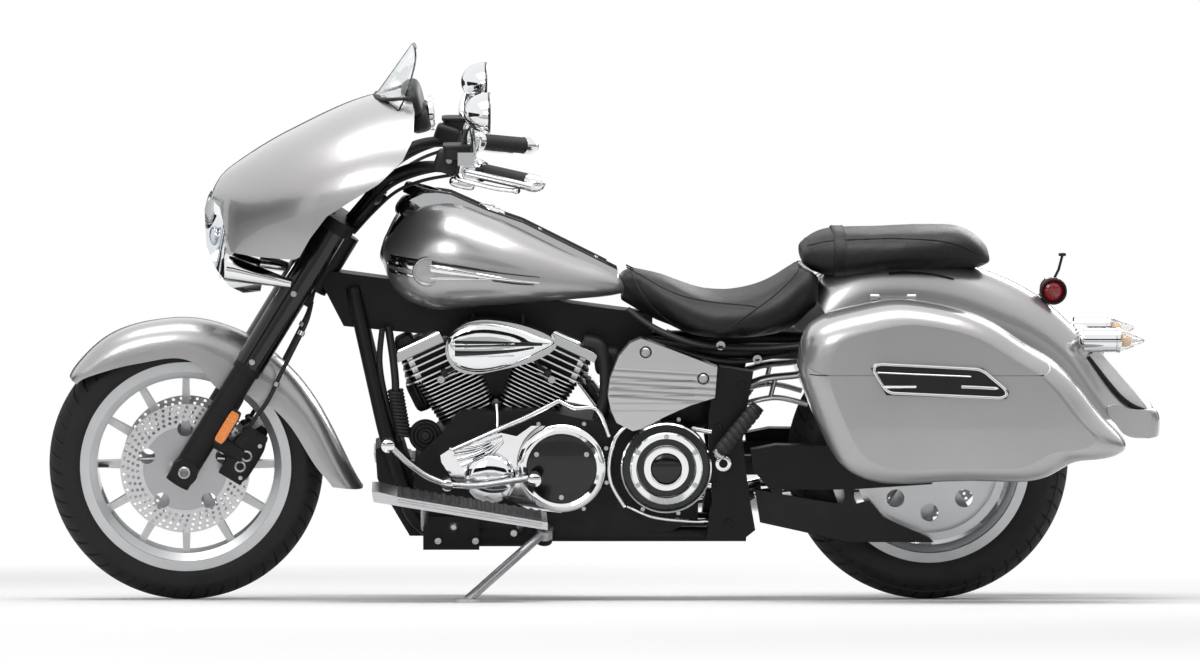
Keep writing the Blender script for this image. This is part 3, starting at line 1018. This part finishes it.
# Tail: a round red lamp in a black housing with a short stalk, chrome turn signals with clear bullets over amber
# bulbs on a chrome bar, and a bare white number plate on the fender.
piece("tail_lamp_rims", [
    turned([(24, -3), (31, -3), (32, 4), (31, 16), (27, 18), (26, 3)], (285, -25, 722), around=48),
    swept([(262, 0, 700), (276, 0, 712), (285, 0, 720)], 14),
    swept([(288, 2, 744), (300, 2, 768), (308, 2, 800)], 3.2, 10),
    pod((308, 2, 803), (9, 5, 4), 3)], black_plain)
red_glass, place = coating("red_glass")
cells = place.node("TexVoronoi", {}, {"Vector": place, "Scale": 0.22})
close(place, cells.mix((0.16, 0.004, 0.008), (0.42, 0.012, 0.02)), 0.12 + 0.12 * cells, cells * 0.0006, coat=1.0,
    coat_rough=0.04)
dress("tail_lamp", red_glass)
piece("tail_lamp_glass", [
    turned([(0, 9), (12, 8), (22, 4), (26, 0), (26, -4)], (285, 30 * side, 722), (0, side, 0), 48)
    for side in (-1, 1)], red_glass)
piece("signal_rims",
    both([turned([(26, -8), (28.5, -6), (29, 2), (26, 5), (24, -4)], (429, -118, 618), (1, 0, 0), 40)]), chrome)
pale_amber, place = coating("amber_bulb")
cells = noise(place, 0.2, 2)
close(place, cells.mix((0.86, 0.50, 0.24), (0.95, 0.66, 0.38)), 0.2 + 0.2 * cells, cells * 0.0003, coat=1.0)
piece("signal_bulbs",
    both([turned([(0, 26), (7, 24), (11, 14), (11, 4), (7, -4), (0, -4)], (432, -118, 618), (1, 0, 0), 24)]),
    pale_amber)
piece("signal_glasses", both([
    turned([(0, 60), (4, 57), (12, 40), (20, 20), (25, 4), (25, -3), (0, -3)], (429, -118, 618), (1, 0, 0), 40)
]), clear_lens)
piece("signal_bar", [swept([(352, -126, 618), (352, 0, 622), (352, 126, 618)], 9, 20),
    pod((350, 0, 622), (16, 40, 15), 4)] + both([pod((352, -118, 618), (15, 14, 15), 3)]), chrome)
plate_white, place = coating("bare_plate")
cloud = noise(place, 0.05, 3)
close(place, cloud.mix((0.80, 0.80, 0.81), (0.88, 0.88, 0.88)), 0.4 + 0.1 * cloud, cloud * 0.0001)


def slab(top, low, half, thick):
    """A flat board across the machine: a rounded rectangle between two points in X and Z, as thick as named."""
    top, low = np.array([top[0], 0, top[1]], float), np.array([low[0], 0, low[1]], float)
    long = np.linalg.norm(low - top) / 2
    way, middle = (low - top) / (2 * long), (low + top) / 2
    out = np.cross(way, (0, 1.0, 0))
    angle = np.arange(64) * 2 * math.pi / 64
    turn, side = np.cos(angle), np.sin(angle)
    reach = (np.abs(turn) ** 14 + np.abs(side) ** 14) ** (-1 / 14)
    rows = []
    for share, level in ((0, 0), (1, 0), (1, thick), (0.985, thick + 0.6), (0, thick + 0.6)):
        rows.append(middle + (turn * reach * share * long)[:, None] * way
            + (side * reach * share * half)[:, None] * np.array([0, 1.0, 0]) + out * level)
    return skin(np.array(rows))


def plate(outline, low, high, edge=1.0):
    """A flat part: an outline in X and Z, carried from y = low to y = high with its edges eased."""
    outline = np.asarray(outline, float)
    middle = outline.mean(0)
    reach = np.abs(outline - middle).max()
    rows = []
    for share, y in ((0, low), (1 - edge / reach, low), (1, low + edge * np.sign(high - low)),
        (1, high - edge * np.sign(high - low)), (1 - edge / reach, high), (0, high)):
        ring = middle + (outline - middle) * share
        rows.append(at_y(ring, y))
    return skin(np.array(rows))


way_out = np.cross(np.array([118, 0, -136.0]), (0, 1.0, 0))
way_out /= np.linalg.norm(way_out)
shift = way_out * (6 if way_out[0] > 0 else -6)
piece("number_plate", [slab((378 + shift[0], 588 + shift[2]), (496 + shift[0], 452 + shift[2]), 82, 2.0)],
    plate_white)
piece("plate_carrier", [
    slab((382 + shift[0] * 0.2, 584 + shift[2] * 0.2), (440, 516), 54, 3.0),
    swept([(352, 0, 612), (372, 0, 596), (384, 0, 584)], 10)
] + both([swept([(384, -60, 582), (372, -60, 574)], 7)]), black_plain)
cheek = [(384, 594), (501, 458), (486, 452), (462, 458), (433, 476), (401, 512), (378, 542), (356, 572)]
piece("plate_cheeks", both([plate(cheek, -84, -80.5, 0.6)]), plate_white)
edge = [(x, -86, z) for x, z in ((362, 576), (385, 547), (408, 518), (438, 484), (466, 463), (492, 452))]
piece("plate_edges", both([tube(edge, 40, 4.6, 10)]), black_plain)
piece("plate_bolts",
    both([turned(np.array(BOLT) * 7, (388 + shift[0] * 1.5, -58, 577 + shift[2] * 1.5), shift, 16)]), satin_alloy)

# The fender's tail: a flap on each side closes the skirt down to the level of the crown's tip.
flap = [(404, 462), (424, 470), (452, 460), (480, 457), (502, 456), (506, 440), (502, 396), (498, 391.5),
    (470, 392), (456, 395), (444, 401), (434, 411), (424, 425), (412, 437)]
piece("fender_tail", both([plate(smooth(flap, 84, True), -118.6, -113.5, 1.2)]), silver_paint)

# Footrests: alloy boards with ribbed rubber pads, rubber ends on the shift lever, and ribbed pegs for the pillion.
# The boards slope: top_z is the board's upper face along X, and the pad's ribs rise from it.
x_line = np.linspace(-1225, -900, 131)
top_z = np.interp(x_line, (-1268, -1220.5, -887), (307, 294.8, 237.4))
rib = np.where((np.arange(131) // 4) % 2, 2.2, 5.0)
rows = []
for y, level in ((246, -1), (246, 1.0), (249, None), (380, None), (383, 1.0), (383, -1)):
    rows.append(np.stack([x_line, np.full(131, y), top_z + (rib if level is None else level)], -1))
pad = np.array(rows).transpose(1, 0, 2)
ends = [pad[k].mean(0, keepdims=True).repeat(6, 0)[None] for k in (0, -1)]
piece("board_pads", both([skin(np.concatenate([ends[0], pad, ends[1]]))]), black_rubber)
piece("board_trim", both([
    swept(np.stack([x_line, np.full(131, 395.0), top_z - 8], -1), 5, 12, (0.7, 1.5)),
    pod((-1276, 312, 297), (7, 80, 9), 4)]), satin_alloy)
shift_ends = [(-1248.3, -248, 394), (-914.8, -248, 315.7)]
sleeve = [(12.7, 25)] + [(15.2 - 1.0 * (k % 2), 24 - k * 2.4) for k in range(21)] + [(12.7, -25)]
piece("shift_pads", [turned(sleeve, spot, around=28) for spot in shift_ends], black_rubber)
piece("shift_caps", [turned([(0, 5), (9, 4), (15, 1), (15, -2), (0, -2)], (spot[0], -272, spot[2]), around=28)
    for spot in shift_ends
] + [turned([(0, 4), (8, 3.5), (13, 1), (13, -5)], (-1113.3, -232, 298.3), around=28)], chrome)
peg_way = np.array([math.cos(math.radians(51)), 0, math.sin(math.radians(51))])
peg = np.array([-491, -200, 368.0])
ribbed = [(16, 10)] + [(18.2 - (2.0 if k % 5 == 4 else 0), 10 + k * 3.0) for k in range(41)] + [(16, 133), (0, 136)]
piece("peg_rubbers", both([turned(ribbed, peg, peg_way, 28)]), black_rubber)
piece("peg_ends", both([pod(peg - peg_way * 2, (14, 14, 6), 8, 39),
    turned([(0, 4), (6, 4), (6, 0), (0, 0)], peg - peg_way * 8, -peg_way, 4)]), satin_alloy)

# Pivot plates: black castings with a chrome-washered pivot bolt, and the bolts of the frame and footrest.
piece("pivot_washers",
    both([turned([(9, 0), (18, 0), (18, 3), (14, 5), (10, 5), (9, 2)], (-481, -175, 341), around=36)]), chrome)
piece("pivot_bolts", both(bolts([(-481, -176, 341)], 8) + bolts([(-497, -166, 290)], 8)
    + bolts([(-492, -166, 424), (-440, -166, 520), (-468, -166, 200)], 9)), cast_black)
piece("box_bolts", bolts([(-1134, -150, 158), (-1048, -150, 158), (-960, -150, 176)], 8) + [
    turned([(0, 8), (6, 7), (10, 2), (11, 0)], (-1098, -150, 190), around=24)], satin_alloy)
piece("chrome_bands", [
    tube([(-700, -158, 240), (-640, -164, 216), (-560, -164, 207), (-516, -160, 206)], 30, 9, 14, (0.6, 1.4)),
    swept([(-552, -160, 420), (-508, -162, 412)], 6, 12), swept([(-548, -160, 292), (-508, -162, 288)], 7, 12),
    tube([(-706, -160, 238), (-736, -162, 290), (-742, -162, 340), (-726, -160, 400), (-690, -156, 436)], 40, 5, 12)
], chrome)
